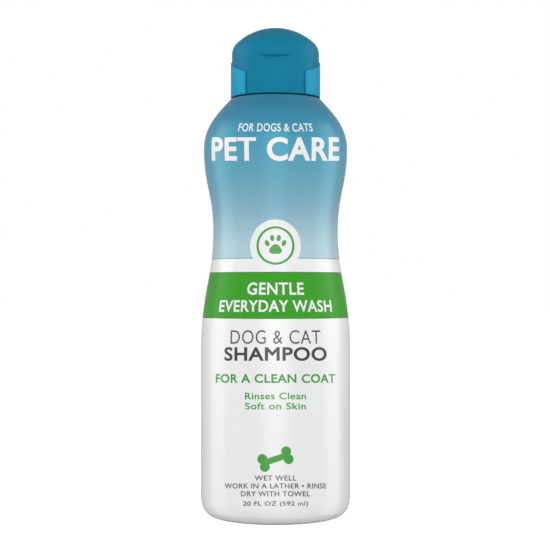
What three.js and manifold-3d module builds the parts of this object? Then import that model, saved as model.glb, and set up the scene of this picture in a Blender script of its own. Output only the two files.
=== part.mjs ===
// Squeeze bottle for pet shampoo, with a printed film sleeve and a screw-on flip-top cap.
// Millimetres, +Z up. The bottle stands on z = 0 with its axis on Z, and its front faces -Y.

import * as THREE from 'three';
import { mergeVertices } from 'three/addons/utils/BufferGeometryUtils.js';
import Module from 'manifold-3d';

const wasm = await Module();
wasm.setup();

// Bottle body: outside radii and heights, measured on the face of the film sleeve.
const BODY_RADIUS = 35.0;
const FOOT_RADIUS = 30.5;
const FOOT_INNER_RADIUS = 27.0;
const HEEL_HEIGHT = 9.0;
const STRAIGHT_TOP = 75.5;
const WAIST_RADIUS = 29.15;
const WAIST_HEIGHT = 133.3;
const SHOULDER_RADIUS = 33.55;
const SHOULDER_HEIGHT = 171.4;
const SHELF_RADIUS = 21.0;
const SHELF_HEIGHT = 195.2;
const WALL = 1.1;

// Push-up in the base: its height, and the flatter middle and steeper rim of its dish.
const PUSH_UP = 3.2;
const DISH_MIDDLE_RADIUS = 16.2;
const DISH_MIDDLE_HEIGHT = 2.56;
const DISH_RIM_WIDTH = 1.0;
const DISH_RIM_HEIGHT = 0.6;

// How far each curve of the side line runs on before it bends: out from the foot, up or down from
// the other knots, and out and down from the shelf.
const FOOT_PULL = 2.1;
const HEEL_PULL = 5.8;
const HEEL_DRAFT = 0.4;
const BODY_PULL = 29.5;
const WAIST_PULL_DOWN = 22.5;
const WAIST_PULL_UP = 16.7;
const SHOULDER_PULL_DOWN = 16.5;
const SHOULDER_PULL_UP = 10;
const SHELF_PULL_OUT = 6.9;
const SHELF_PULL_DOWN = 7.3;

// Film sleeve.
const SLEEVE_THICKNESS = 0.25;
const SLEEVE_GAP = 0.15;
const SLEEVE_START = 3.0;

// Neck and its thread.
const NECK_RADIUS = 12.5;
const NECK_BORE = 10.8;
const LAND_HEIGHT = 205.2;
const NECK_STEP_WIDTH = 0.5;
const NECK_STEP_HEIGHT = 0.1;
const THREAD_PITCH = 4.23;
const THREAD_SECTION = 0.95;
const THREAD_DEPTH = 1.05;
const THREAD_START = 197.6;
const NECK_THREAD_TURNS = 1.5;
const CAP_THREAD_TURNS = 1.0;
const THREAD_RUN_IN = Math.PI / 5;
const THREAD_STEPS_PER_TURN = 20;
const THREAD_SECTION_STEPS = 4;

// Cap base: outer shell, deck, threaded skirt and pouring spout.
const CAP_RADIUS = 20.95;
const CAP_FOOT = 195.65;
const CAP_WALL = 1.5;
const FRONT_WALL = 1.3;
const DECK_TOP = 207.9;
const DECK_THICKNESS = 1.5;
const SKIRT_BORE = 13.9;
const SKIRT_WALL = 1.5;
const SPOUT_BORE = 3.25;
const SPOUT_RADIUS = 4.7;
const SPOUT_TOP = 213.2;
const SPOUT_FILLET = 0.6;
const SPOUT_LIP = 0.4;

// Liner: it reaches a little inside the neck's bore, and clears the skirt.
const LINER_THICKNESS = 0.9;
const LINER_OVERHANG = 0.2;
const LINER_CLEARANCE = 0.4;

// Lid: domed shell with an apron that hangs down the front of the cap.
const LID_RADIUS = 20.4;
const LID_WALL = 1.7;
const LID_TOP = 228.2;
const CROWN_RADIUS = 26.8;
const CROWN_EDGE = 7.0;
const APRON_HALF_WIDTH = 13.7;
const APRON_BACK = -10;
const CLEARANCE = 0.3;

// Parting line between lid and base, seen from the side: it climbs from front to back, then levels.
const PARTING_AT_AXIS = 211.85;
const PARTING_SLOPE = 0.359;
const PARTING_REAR = 214.5;
const PARTING_GAP = 0.35;
const PARTING_BEND_START = 2;
const PARTING_BEND_END = 13;

// Thumb recess in the front of the lid.
const THUMB_TOP = 213.1;
const THUMB_DEPTH = 1.8;
const THUMB_FOOT = 203.0;
const THUMB_FLOOR_RADIUS = 90;
const THUMB_ROOF_TILT = 22;

// Thicker wall behind the thumb recess.
const BOSS_HALF_WIDTH = 8.5;
const BOSS_DEPTH = 1.4;
const BOSS_FOOT = 208.4;
const BOSS_TOP = 216.1;

// Plug under the lid, which closes the spout.
const PLUG_RADIUS = 2.85;
const PLUG_BORE = 1.9;
const PLUG_FOOT = 211.3;

// Hinge at the back: two thin webs on the axis and a bowed spring strap between them.
const HINGE_FLAT = 19.6;
const HINGE_FLAT_FOOT = 208.6;
const HINGE_FLAT_TOP = 221;
const HINGE_WALL = 1.6;
const HINGE_AXIS_Z = 214.7;
const STRAP_HALF_WIDTH = 2.4;
const STRAP_FOOT = 211.2;
const STRAP_TOP = 218.2;
const STRAP_THICKNESS = 0.8;
const STRAP_BOW = 0.7;
const STRAP_SLOT_DEPTH = 3;
const WEB_INNER = 3.2;
const WEB_OUTER = 6.6;
const WEB_THICKNESS = 0.35;
const WEB_HALF_HEIGHT = 1.1;
const WEB_STANDOFF = 0.1;

// Facets.
const AROUND = 48;
const AROUND_SMALL = 24;
const CURVE_STEPS = 5;
const DOME_STEPS = 3;

// How far the cutting blocks reach: sideways, above everything, and past an edge or a face.
const FAR = 60;
const SKY = 300;
const PAST_FOOT = 5;
const OVERLAP = 0.5;

// Colours and finishes.
const PLASTIC_WHITE = { color: '#e9ebe8', roughness: 0.42, metalness: 0 };
const FILM_BLUE = { color: '#7fb6cf', roughness: 0.3, metalness: 0 };
const CAP_TEAL = { color: '#1f9cc4', roughness: 0.38, metalness: 0 };
const LID_TEAL = { color: '#1a7698', roughness: 0.38, metalness: 0 };
const LINER_GREY = { color: '#dfe0dc', roughness: 0.8, metalness: 0 };

// ---------------------------------------------------------------- helpers

// A closed solid from a three.js geometry.
function solid(geometry) {
  const bare = geometry.index ? geometry.toNonIndexed() : geometry.clone();
  bare.deleteAttribute('normal');
  bare.deleteAttribute('uv');
  const merged = mergeVertices(bare, 1e-4);
  const mesh = new wasm.Mesh({
    numProp: 3,
    vertProperties: new Float32Array(merged.attributes.position.array),
    triVerts: new Uint32Array(merged.index.array),
  });
  mesh.merge();
  return new wasm.Manifold(mesh);
}

// A three.js geometry from a closed solid.
function geometryOf(manifold) {
  const mesh = manifold.getMesh();
  const geometry = new THREE.BufferGeometry();
  geometry.setAttribute('position', new THREE.BufferAttribute(mesh.vertProperties, 3));
  geometry.setIndex(new THREE.BufferAttribute(mesh.triVerts, 1));
  geometry.computeVertexNormals();
  return geometry;
}

// A named part with its own material.
function part(name, shape, finish) {
  const material = new THREE.MeshStandardMaterial(finish);
  const mesh = new THREE.Mesh(geometryOf(shape), material);
  mesh.name = name;
  return mesh;
}

// The solid swept by turning a profile of [radius, height] points about Z.
function turned(points, around = AROUND) {
  const profile = points.map(([r, z]) => new THREE.Vector2(Math.max(r, 0), z));
  const geometry = new THREE.LatheGeometry(profile, around);
  geometry.rotateX(Math.PI / 2);
  return solid(geometry);
}

// A round post, and a ring, between two heights.
function post(radius, low, high, around = AROUND) {
  return turned([[0, low], [radius, low], [radius, high], [0, high]], around);
}

function ring(inner, outer, low, high, around = AROUND) {
  return turned([[inner, low], [outer, low], [outer, high], [inner, high], [inner, low]], around);
}

// A block between two corners.
function block(low, high) {
  const size = high.map((top, axis) => top - low[axis]);
  const geometry = new THREE.BoxGeometry(...size);
  geometry.translate(low[0] + size[0] / 2, low[1] + size[1] / 2, low[2] + size[2] / 2);
  return solid(geometry);
}

// A side-view outline in (y, z), drawn out sideways between -halfWidth and +halfWidth.
function sidewaysSlab(shape, halfWidth) {
  const geometry = new THREE.ExtrudeGeometry(shape, {
    depth: 2 * halfWidth,
    bevelEnabled: false,
    curveSegments: CURVE_STEPS,
  });
  geometry.translate(0, 0, -halfWidth);
  const turn = new THREE.Matrix4().makeBasis(
    new THREE.Vector3(0, 1, 0),
    new THREE.Vector3(0, 0, 1),
    new THREE.Vector3(1, 0, 0),
  );
  return solid(geometry.applyMatrix4(turn));
}

// A polyline moved inwards, square to itself, by the same distance everywhere.
function inset(points, distance) {
  return points.map((point, i) => {
    const before = points[Math.max(i - 1, 0)];
    const after = points[Math.min(i + 1, points.length - 1)];
    const along = after.clone().sub(before).normalize();
    return new THREE.Vector2(point.x - along.y * distance, point.y + along.x * distance);
  });
}

// A ridge that winds up a cylinder and sinks into its wall at both ends.
class ThreadCurve extends THREE.Curve {
  constructor({ radius, sink, turns, startAngle, startHeight }) {
    super();
    Object.assign(this, { radius, sink, turns, startAngle, startHeight });
  }

  getPoint(t, target = new THREE.Vector3()) {
    const sweep = this.turns * 2 * Math.PI;
    const toEnd = Math.min(t, 1 - t) * sweep;
    const sunk = Math.max(0, 1 - toEnd / THREAD_RUN_IN);
    const r = this.radius + this.sink * sunk;
    const angle = this.startAngle + t * sweep;
    const height = this.startHeight + t * this.turns * THREAD_PITCH;
    return target.set(r * Math.cos(angle), r * Math.sin(angle), height);
  }
}

function threadRidge(options) {
  const section = new THREE.Shape();
  section.absarc(0, 0, THREAD_SECTION, 0, 2 * Math.PI);
  const geometry = new THREE.ExtrudeGeometry(section, {
    steps: Math.round(THREAD_STEPS_PER_TURN * options.turns),
    curveSegments: THREAD_SECTION_STEPS,
    bevelEnabled: false,
    extrudePath: new ThreadCurve(options),
  });
  return solid(geometry);
}

// ---------------------------------------------------------------- bottle and sleeve

// The body's side line from the foot to the shelf under the cap.
function bodyLine() {
  const line = new THREE.Path();
  line.moveTo(FOOT_RADIUS, 0);
  line.bezierCurveTo(
    FOOT_RADIUS + FOOT_PULL, 0,
    BODY_RADIUS - HEEL_DRAFT, HEEL_HEIGHT - HEEL_PULL,
    BODY_RADIUS, HEEL_HEIGHT,
  );
  line.lineTo(BODY_RADIUS, STRAIGHT_TOP);
  line.bezierCurveTo(
    BODY_RADIUS, STRAIGHT_TOP + BODY_PULL,
    WAIST_RADIUS, WAIST_HEIGHT - WAIST_PULL_DOWN,
    WAIST_RADIUS, WAIST_HEIGHT,
  );
  line.bezierCurveTo(
    WAIST_RADIUS, WAIST_HEIGHT + WAIST_PULL_UP,
    SHOULDER_RADIUS, SHOULDER_HEIGHT - SHOULDER_PULL_DOWN,
    SHOULDER_RADIUS, SHOULDER_HEIGHT,
  );
  line.bezierCurveTo(
    SHOULDER_RADIUS, SHOULDER_HEIGHT + SHOULDER_PULL_UP,
    SHELF_RADIUS + SHELF_PULL_OUT, SHELF_HEIGHT - SHELF_PULL_DOWN,
    SHELF_RADIUS, SHELF_HEIGHT,
  );
  return line.getPoints(CURVE_STEPS);
}

const pairs = (points) => points.map((point) => [point.x, point.y]);

function bottle() {
  const side = bodyLine();
  const outer = pairs(inset(side, SLEEVE_GAP + SLEEVE_THICKNESS));
  const inner = pairs(inset(side, SLEEVE_GAP + SLEEVE_THICKNESS + WALL));
  outer[0] = [FOOT_RADIUS - SLEEVE_GAP, 0];
  const [shelfRadius, shelfHeight] = outer[outer.length - 1];
  const [, innerShelf] = inner[inner.length - 1];
  inner[0] = [FOOT_RADIUS - WALL, WALL + DISH_RIM_HEIGHT / 2];
  const stepHeight = shelfHeight + NECK_STEP_HEIGHT;
  const profile = [
    [0, PUSH_UP],
    [DISH_MIDDLE_RADIUS, DISH_MIDDLE_HEIGHT],
    [FOOT_INNER_RADIUS - DISH_RIM_WIDTH, DISH_RIM_HEIGHT],
    [FOOT_INNER_RADIUS, 0],
    ...outer,
    [shelfRadius - NECK_STEP_WIDTH, stepHeight],
    [NECK_RADIUS, stepHeight],
    [NECK_RADIUS, LAND_HEIGHT],
    [NECK_BORE, LAND_HEIGHT],
    [NECK_BORE, innerShelf],
    ...inner.reverse(),
    [FOOT_INNER_RADIUS - DISH_RIM_WIDTH, WALL + DISH_RIM_HEIGHT],
    [DISH_MIDDLE_RADIUS, DISH_MIDDLE_HEIGHT + WALL],
    [0, PUSH_UP + WALL],
  ];
  const thread = threadRidge({
    radius: NECK_RADIUS + THREAD_DEPTH - THREAD_SECTION,
    sink: -THREAD_DEPTH,
    turns: NECK_THREAD_TURNS,
    startAngle: 0,
    startHeight: THREAD_START,
  });
  return turned(profile).add(thread);
}

function shrinkSleeve() {
  const side = bodyLine();
  const first = side.findIndex((point) => point.y > SLEEVE_START);
  const outer = pairs(side).slice(first);
  const inner = pairs(inset(side, SLEEVE_THICKNESS)).slice(first);
  return turned([...outer, ...inner.reverse(), outer[0]]);
}

// ---------------------------------------------------------------- cap

// Everything above the parting line, raised or lowered by a shift.
function aboveParting(shift) {
  const heightAt = (y) => PARTING_AT_AXIS + PARTING_SLOPE * y + shift;
  const rear = PARTING_REAR + shift;
  const levelAt = (PARTING_REAR - PARTING_AT_AXIS) / PARTING_SLOPE;
  const outline = new THREE.Shape();
  outline.moveTo(-FAR, heightAt(-FAR));
  outline.lineTo(PARTING_BEND_START, heightAt(PARTING_BEND_START));
  outline.quadraticCurveTo(levelAt, rear, PARTING_BEND_END, rear);
  outline.lineTo(FAR, rear);
  outline.lineTo(FAR, LID_TOP + FAR);
  outline.lineTo(-FAR, LID_TOP + FAR);
  return sidewaysSlab(outline, FAR);
}

// The flat on the back of the cap, and the slot for the spring strap.
function hingeRecess() {
  const flat = block([-FAR, HINGE_FLAT, HINGE_FLAT_FOOT], [FAR, FAR, HINGE_FLAT_TOP]);
  const half = STRAP_HALF_WIDTH + CLEARANCE;
  const slot = block(
    [-half, HINGE_FLAT - STRAP_SLOT_DEPTH, STRAP_FOOT - CLEARANCE],
    [half, FAR, STRAP_TOP + CLEARANCE],
  );
  return flat.add(slot);
}

// The ring hollow under the deck, drawn in behind the apron so that a wall is left there.
function undersideHollow() {
  const outer = CAP_RADIUS - CAP_WALL;
  const behindApron = LID_RADIUS - LID_WALL - CLEARANCE - FRONT_WALL;
  const skirt = SKIRT_BORE + SKIRT_WALL;
  const hollow = ring(skirt, outer, CAP_FOOT - PAST_FOOT, DECK_TOP - DECK_THICKNESS);
  const cheek = APRON_HALF_WIDTH + CLEARANCE + CAP_WALL;
  const frontWall = ring(behindApron, FAR, 0, DECK_TOP)
    .intersect(block([-cheek, -FAR, 0], [cheek, APRON_BACK, DECK_TOP]));
  return hollow.subtract(frontWall);
}

function spout() {
  const profile = [
    [SPOUT_BORE, DECK_TOP - DECK_THICKNESS],
    [SPOUT_RADIUS + SPOUT_FILLET, DECK_TOP - DECK_THICKNESS],
    [SPOUT_RADIUS + SPOUT_FILLET, DECK_TOP],
    [SPOUT_RADIUS, DECK_TOP + SPOUT_FILLET],
    [SPOUT_RADIUS, SPOUT_TOP - SPOUT_LIP],
    [SPOUT_RADIUS - SPOUT_LIP, SPOUT_TOP],
    [SPOUT_BORE, SPOUT_TOP],
    [SPOUT_BORE, DECK_TOP - DECK_THICKNESS],
  ];
  return turned(profile, AROUND_SMALL);
}

// The cup above the deck, which leaves a thicker wall behind the hinge flat.
function cup() {
  const hingeWall = block([-FAR, HINGE_FLAT - HINGE_WALL, 0], [FAR, FAR, SKY]);
  return post(CAP_RADIUS - CAP_WALL, DECK_TOP, SKY).subtract(hingeWall);
}

function closureBase() {
  const notchRadius = LID_RADIUS - LID_WALL - CLEARANCE;
  const notchHalf = APRON_HALF_WIDTH + CLEARANCE;
  const notch = ring(notchRadius, FAR, 0, SKY)
    .intersect(block([-notchHalf, -FAR, 0], [notchHalf, APRON_BACK, SKY]));
  const shell = post(CAP_RADIUS, CAP_FOOT, LID_TOP)
    .subtract(aboveParting(-PARTING_GAP / 2))
    .subtract(cup())
    .add(post(notchRadius, CAP_FOOT, DECK_TOP))
    .subtract(notch)
    .subtract(hingeRecess())
    .subtract(undersideHollow())
    .subtract(post(SKIRT_BORE, CAP_FOOT - PAST_FOOT, DECK_TOP - DECK_THICKNESS))
    .subtract(post(SPOUT_BORE, 0, SKY, AROUND_SMALL));
  const thread = threadRidge({
    radius: SKIRT_BORE - THREAD_DEPTH + THREAD_SECTION,
    sink: THREAD_DEPTH,
    turns: CAP_THREAD_TURNS,
    startAngle: -Math.PI,
    startHeight: THREAD_START,
  });
  return shell.add(spout()).add(thread);
}

function liner() {
  const low = LAND_HEIGHT + SLEEVE_GAP;
  return ring(NECK_BORE - LINER_OVERHANG, SKIRT_BORE - LINER_CLEARANCE, low, low + LINER_THICKNESS);
}

// A dome: a ball-shaped crown, a rounded edge and a straight wall down to a height.
function dome(shrink, low) {
  const crown = CROWN_RADIUS - shrink;
  const edge = CROWN_EDGE - shrink;
  const wall = LID_RADIUS - shrink;
  const crownCentre = LID_TOP - CROWN_RADIUS;
  const rise = Math.sqrt((CROWN_RADIUS - CROWN_EDGE) ** 2 - (LID_RADIUS - CROWN_EDGE) ** 2);
  const edgeTop = Math.atan2(rise, LID_RADIUS - CROWN_EDGE);
  const line = new THREE.Path();
  line.moveTo(0, low);
  line.lineTo(wall, low);
  line.absarc(wall - edge, crownCentre + rise, edge, 0, edgeTop);
  line.absarc(0, crownCentre, crown, edgeTop, Math.PI / 2);
  return turned(pairs(line.getPoints(DOME_STEPS)));
}

// The hollow that a thumb pushes into to lift the lid: a shallow scoop under a sloping brow.
function thumbScoop() {
  const height = THUMB_TOP - THUMB_FOOT;
  const lean = Math.atan(THUMB_DEPTH / height);
  const scoop = new THREE.CylinderGeometry(THUMB_FLOOR_RADIUS, THUMB_FLOOR_RADIUS, FAR, 2 * AROUND);
  scoop.rotateX(Math.PI / 2 - lean);
  scoop.translate(0, THUMB_DEPTH - LID_RADIUS - THUMB_FLOOR_RADIUS / Math.cos(lean), THUMB_TOP);
  const drop = Math.tan(THREE.MathUtils.degToRad(THUMB_ROOF_TILT));
  const roofAt = (radius) => THUMB_TOP + drop * (radius - LID_RADIUS);
  const brow = turned([[0, 0], [FAR, 0], [FAR, roofAt(FAR)], [0, roofAt(0)]]);
  return solid(scoop).intersect(brow);
}

function lid() {
  const inside = LID_RADIUS - LID_WALL;
  const apron = block(
    [-APRON_HALF_WIDTH, -FAR, CAP_FOOT],
    [APRON_HALF_WIDTH, APRON_BACK, LID_TOP],
  );
  const boss = ring(inside - BOSS_DEPTH, inside + OVERLAP, BOSS_FOOT, BOSS_TOP)
    .intersect(block([-BOSS_HALF_WIDTH, -FAR, 0], [BOSS_HALF_WIDTH, APRON_BACK, SKY]));
  const plug = ring(PLUG_BORE, PLUG_RADIUS, PLUG_FOOT, LID_TOP - LID_WALL / 2, AROUND_SMALL);
  return dome(0, CAP_FOOT)
    .intersect(aboveParting(PARTING_GAP / 2).add(apron))
    .subtract(dome(LID_WALL, CAP_FOOT - PAST_FOOT))
    .add(boss)
    .add(plug.intersect(dome(LID_WALL / 2, CAP_FOOT)))
    .subtract(hingeRecess())
    .subtract(thumbScoop());
}

// ---------------------------------------------------------------- hinge

// The spring strap, bowed a little outwards between the base and the lid.
function hingeStrap() {
  const front = HINGE_FLAT - STRAP_THICKNESS;
  const middle = (STRAP_FOOT + STRAP_TOP) / 2;
  const outline = new THREE.Shape();
  outline.moveTo(front, STRAP_FOOT);
  outline.lineTo(HINGE_FLAT, STRAP_FOOT);
  outline.quadraticCurveTo(HINGE_FLAT + 2 * STRAP_BOW, middle, HINGE_FLAT, STRAP_TOP);
  outline.lineTo(front, STRAP_TOP);
  outline.quadraticCurveTo(front + 2 * STRAP_BOW, middle, front, STRAP_FOOT);
  return sidewaysSlab(outline, STRAP_HALF_WIDTH);
}

function hingeWeb(side) {
  const ends = [side * WEB_INNER, side * WEB_OUTER].sort((a, b) => a - b);
  const skin = HINGE_FLAT + WEB_STANDOFF;
  return block(
    [ends[0], skin, HINGE_AXIS_Z - WEB_HALF_HEIGHT],
    [ends[1], skin + WEB_THICKNESS, HINGE_AXIS_Z + WEB_HALF_HEIGHT],
  );
}

// ---------------------------------------------------------------- assembly

const cap = new THREE.Group();
cap.add(part('liner', liner(), LINER_GREY));
cap.add(part('closure_base', closureBase(), CAP_TEAL));

const flipLid = new THREE.Group();
flipLid.add(part('lid', lid(), LID_TEAL));
flipLid.add(part('hinge_strap', hingeStrap(), LID_TEAL));
flipLid.add(part('hinge_web_left', hingeWeb(-1), LID_TEAL));
flipLid.add(part('hinge_web_right', hingeWeb(1), LID_TEAL));
cap.add(flipLid);

const shampooBottle = new THREE.Group();
shampooBottle.add(part('bottle', bottle(), PLASTIC_WHITE));
shampooBottle.add(part('shrink_sleeve', shrinkSleeve(), FILM_BLUE));
shampooBottle.add(cap);

export default shampooBottle;
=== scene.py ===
"""Pet shampoo bottle: a waisted squeeze bottle in a printed film sleeve, under a flip-top cap."""

import math

import bmesh
import bpy
import numpy as np
from mathutils import Matrix, Vector, noise
from mathutils.geometry import interpolate_bezier


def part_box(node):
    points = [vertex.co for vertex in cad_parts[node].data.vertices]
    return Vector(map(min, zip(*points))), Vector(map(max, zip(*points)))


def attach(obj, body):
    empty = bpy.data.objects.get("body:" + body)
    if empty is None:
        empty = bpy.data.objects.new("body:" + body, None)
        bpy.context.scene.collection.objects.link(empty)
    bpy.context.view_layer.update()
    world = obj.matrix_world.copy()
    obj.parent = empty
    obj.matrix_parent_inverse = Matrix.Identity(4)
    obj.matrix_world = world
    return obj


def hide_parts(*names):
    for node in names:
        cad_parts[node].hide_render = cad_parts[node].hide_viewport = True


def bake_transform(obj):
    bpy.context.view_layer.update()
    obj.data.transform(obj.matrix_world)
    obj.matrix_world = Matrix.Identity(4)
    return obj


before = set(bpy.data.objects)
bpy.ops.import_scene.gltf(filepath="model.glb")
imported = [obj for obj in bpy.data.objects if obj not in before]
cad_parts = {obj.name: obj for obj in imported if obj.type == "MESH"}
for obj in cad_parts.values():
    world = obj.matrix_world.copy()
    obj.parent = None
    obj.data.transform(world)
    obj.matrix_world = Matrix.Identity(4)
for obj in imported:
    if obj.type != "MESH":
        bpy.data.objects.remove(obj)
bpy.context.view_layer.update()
MM = 0.001

# -------- sizes

_, SLEEVE_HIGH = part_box("shrink_sleeve")
BASE_LOW, BASE_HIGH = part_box("closure_base")
_, LID_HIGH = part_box("lid")
LINER_LOW, LINER_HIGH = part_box("liner")
STRAP_LOW, STRAP_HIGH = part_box("hinge_strap")
WEB_LOW, WEB_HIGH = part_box("hinge_web_right")

# Body side line, on the face of the film.
BODY_RADIUS = SLEEVE_HIGH.x
SHELF_HEIGHT = SLEEVE_HIGH.z - 0.4 * MM
FOOT_RADIUS = 29.0 * MM
FOOT_INNER_RADIUS = 25.5 * MM
HEEL_HEIGHT = 9.0 * MM
STRAIGHT_TOP = 75.5 * MM
WAIST_RADIUS = 29.15 * MM
WAIST_HEIGHT = 133.3 * MM
SHOULDER_RADIUS = 33.55 * MM
SHOULDER_HEIGHT = 171.4 * MM
SHELF_RADIUS = 21.0 * MM

# How far each curve of the side line runs on before it bends: out from the foot, up or down from
# the other knots, and out and down from the shelf.
FOOT_PULL = 3.0 * MM
HEEL_PULL = 6.0 * MM
HEEL_DRAFT = 0.3 * MM
BODY_PULL = 29.5 * MM
WAIST_PULL_DOWN = 22.5 * MM
WAIST_PULL_UP = 16.7 * MM
SHOULDER_PULL_DOWN = 16.5 * MM
SHOULDER_PULL_UP = 10 * MM
SHELF_PULL_OUT = 6.9 * MM
SHELF_PULL_DOWN = 7.3 * MM

# Push-up under the base: its height in the middle, the points that draw its curve down, and its rim.
PUSH_UP = 3.2 * MM
DISH_PULLS = [(16 * MM, PUSH_UP), (24 * MM, 1.6 * MM)]
DISH_RIM = 0.25 * MM
FOOT_EDGE = 0.6 * MM
SCAR_HALF_LENGTH = 17 * MM
SCAR_HALF_WIDTH = 0.45 * MM

# Film sleeve and the bottle wall under it. The collar is the film's run over the shelf: how far in
# from the shelf's edge, and how far above it.
FILM_THICKNESS = 0.12 * MM
FILM_START = 3.3 * MM
FILM_COLLAR = [(0.9 * MM, 0.1 * MM), (3.4 * MM, 0.16 * MM)]
SEAM_TURN = math.radians(118)
SEAM_WIDTH = 5.5 * MM
SEAM_TOP = SHELF_HEIGHT - 0.2 * MM
SEAM_CELL = 1.6 * MM
SEAM_WAVER = 0.12 * MM
SEAM_LIFT = 0.01 * MM
SEAM_THICKNESS = 0.05 * MM
WALL_INSET = 0.2 * MM
BOTTLE_WALL = 1.1 * MM

# Neck, and the threads of neck and cap, which are rooted a little way into their walls.
NECK_RADIUS = 12.5 * MM
NECK_BORE = 10.8 * MM
LAND_HEIGHT = 205.2 * MM
THREAD_PITCH = 4.23 * MM
THREAD_START = 197.6 * MM
THREAD_DEPTH = 1.0 * MM
THREAD_ROOTED = 0.2 * MM
THREAD_FOOT_HALF = 1.05 * MM
THREAD_CREST_HALF = 0.4 * MM
THREAD_RUN_IN = math.radians(36)
NECK_THREAD_TURNS = 1.5
CAP_THREAD_TURNS = 1.0

# Cap: base and spout, lid, hinge, thumb scoop and plug.
CAP_RADIUS = BASE_HIGH.x
CAP_FOOT = BASE_LOW.z
CAP_WALL = 1.5 * MM
FRONT_WALL = 1.3 * MM
HINGE_WALL = 1.6 * MM
EDGE_BREAK = 0.1 * MM
DECK_TOP = 207.9 * MM
DECK_UNDER = 206.4 * MM
SKIRT_BORE = 13.9 * MM
SKIRT_WALL = 1.5 * MM
SPOUT_BORE = 3.25 * MM
SPOUT_RADIUS = 4.7 * MM
SPOUT_TOP = 213.2 * MM
SPOUT_FILLET = 0.9 * MM
SPOUT_LIP = 0.5 * MM
DRIP_RING_INNER = 8.0 * MM
DRIP_RING_OUTER = 8.8 * MM
DRIP_RING_RISE = 0.45 * MM
LID_RADIUS = LID_HIGH.x
LID_TOP = LID_HIGH.z
LID_WALL = 1.7 * MM
CROWN_RADIUS = 26.8 * MM
CROWN_EDGE = 7.0 * MM
PARTING_AT_AXIS = 211.85 * MM
PARTING_SLOPE = 0.359
PARTING_REAR = 214.5 * MM
PARTING_BEND_START = 2 * MM
PARTING_BEND_END = 13 * MM
PARTING_GAP = 0.15 * MM
APRON_HALF = 13.7 * MM
APRON_GAP = 0.1 * MM
APRON_BACK = -10 * MM
BOSS_HALF = 8.5 * MM
BOSS_DEPTH = 1.4 * MM
BOSS_TOP = 216.1 * MM
RIB_HALF = 0.35 * MM
RIB_FOOT = 222.2 * MM
RIB_REACH = 13.5 * MM
HINGE_FLAT = 19.6 * MM
HINGE_FLAT_FOOT = 208.6 * MM
HINGE_FLAT_TOP = 221 * MM
STRAP_THICKNESS = 0.8 * MM
STRAP_THINNING = 0.2 * MM
STRAP_ROOTED = 0.5 * MM
STRAP_CLEARANCE = 0.3 * MM
WEB_WAIST = 0.16 * MM
THUMB_TOP = 213.1 * MM
THUMB_FOOT = 203 * MM
THUMB_DEPTH = 2.3 * MM
THUMB_FLOOR_RADIUS = 40 * MM
THUMB_ROOF_TILT = math.radians(20)
PLUG_RADIUS = 2.85 * MM
PLUG_BORE = 1.9 * MM
PLUG_FOOT = 211.3 * MM
PLUG_LEAD_IN = 0.4 * MM
PLUG_ROOT_FLARE = 0.75 * MM

# Print. The end stretch is 0 for rows true round the bottle and 1 for rows true from straight in front.
END_STRETCH = 0.6
LETTER_SPACING = 1.07
INK_LIFT = 0.015 * MM
INK_THICKNESS = 0.03 * MM
PRINT_CELL = 1.5 * MM
EMBLEM_HEIGHT = 125.6 * MM
DISC_RADIUS = 11.7 * MM
RING_RADIUS = 8.65 * MM
RING_LINE = 1.0 * MM
PAW_SIZE = 6.1 * MM
BONE_HEIGHT = 30.3 * MM
BACK_PAW_HEIGHT = 103.2 * MM

# Where the bottle is seen from, near the level of its middle, and the room that it stands in.
CAMERA_DISTANCE = 680 * MM
CAMERA_HEIGHT = 105.6 * MM
CAMERA_LENS = 94.8
IMAGE_SIDE = 550
ROOM_FRONT = 0.55
ROOM_BACK = 0.38
ROOM_TOP = 0.55
FLOOR_GLOW = 0.88
FLOOR_BOUNCE = 0.75
MIDDLE = (0, 0, 110 * MM)

# Steps in a full turn, and lengths that reach well past the bottle.
AROUND = 192
FAR = 60 * MM
SKY = 300 * MM

# The height where each colour of film ends, from the foot up.
BANDS = [
    (92.7 * MM, "film_white"),
    (93.15 * MM, "film_green_edge"),
    (113.3 * MM, "film_green"),
    (113.75 * MM, "film_green_edge"),
    (119.7 * MM, "film_white"),
    (120.15 * MM, "film_teal_line"),
    (SKY, "film_blue"),
]


def side_line(steps=24):
    """(radius, height) points up the side of the body, from the foot to the shelf under the cap."""
    knots = [
        (
            (FOOT_RADIUS, 0), (FOOT_RADIUS + FOOT_PULL, 0),
            (BODY_RADIUS - HEEL_DRAFT, HEEL_HEIGHT - HEEL_PULL), (BODY_RADIUS, HEEL_HEIGHT),
        ),
        (
            (BODY_RADIUS, STRAIGHT_TOP), (BODY_RADIUS, STRAIGHT_TOP + BODY_PULL),
            (WAIST_RADIUS, WAIST_HEIGHT - WAIST_PULL_DOWN), (WAIST_RADIUS, WAIST_HEIGHT),
        ),
        (
            (WAIST_RADIUS, WAIST_HEIGHT), (WAIST_RADIUS, WAIST_HEIGHT + WAIST_PULL_UP),
            (SHOULDER_RADIUS, SHOULDER_HEIGHT - SHOULDER_PULL_DOWN), (SHOULDER_RADIUS, SHOULDER_HEIGHT),
        ),
        (
            (SHOULDER_RADIUS, SHOULDER_HEIGHT), (SHOULDER_RADIUS, SHOULDER_HEIGHT + SHOULDER_PULL_UP),
            (SHELF_RADIUS + SHELF_PULL_OUT, SHELF_HEIGHT - SHELF_PULL_DOWN), (SHELF_RADIUS, SHELF_HEIGHT),
        ),
    ]
    points = []
    for knot in knots:
        curve = interpolate_bezier(*(Vector(p).to_3d() for p in knot), steps)
        points += [(p.x, p.y) for p in curve if not points or (p.xy - Vector(points[-1])).length > 1e-6]
    return points


SIDE = side_line()


def radius_at(height):
    """The film's outside radius at a height."""
    return float(np.interp(height, [z for _, z in SIDE], [r for r, _ in SIDE]))


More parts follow.
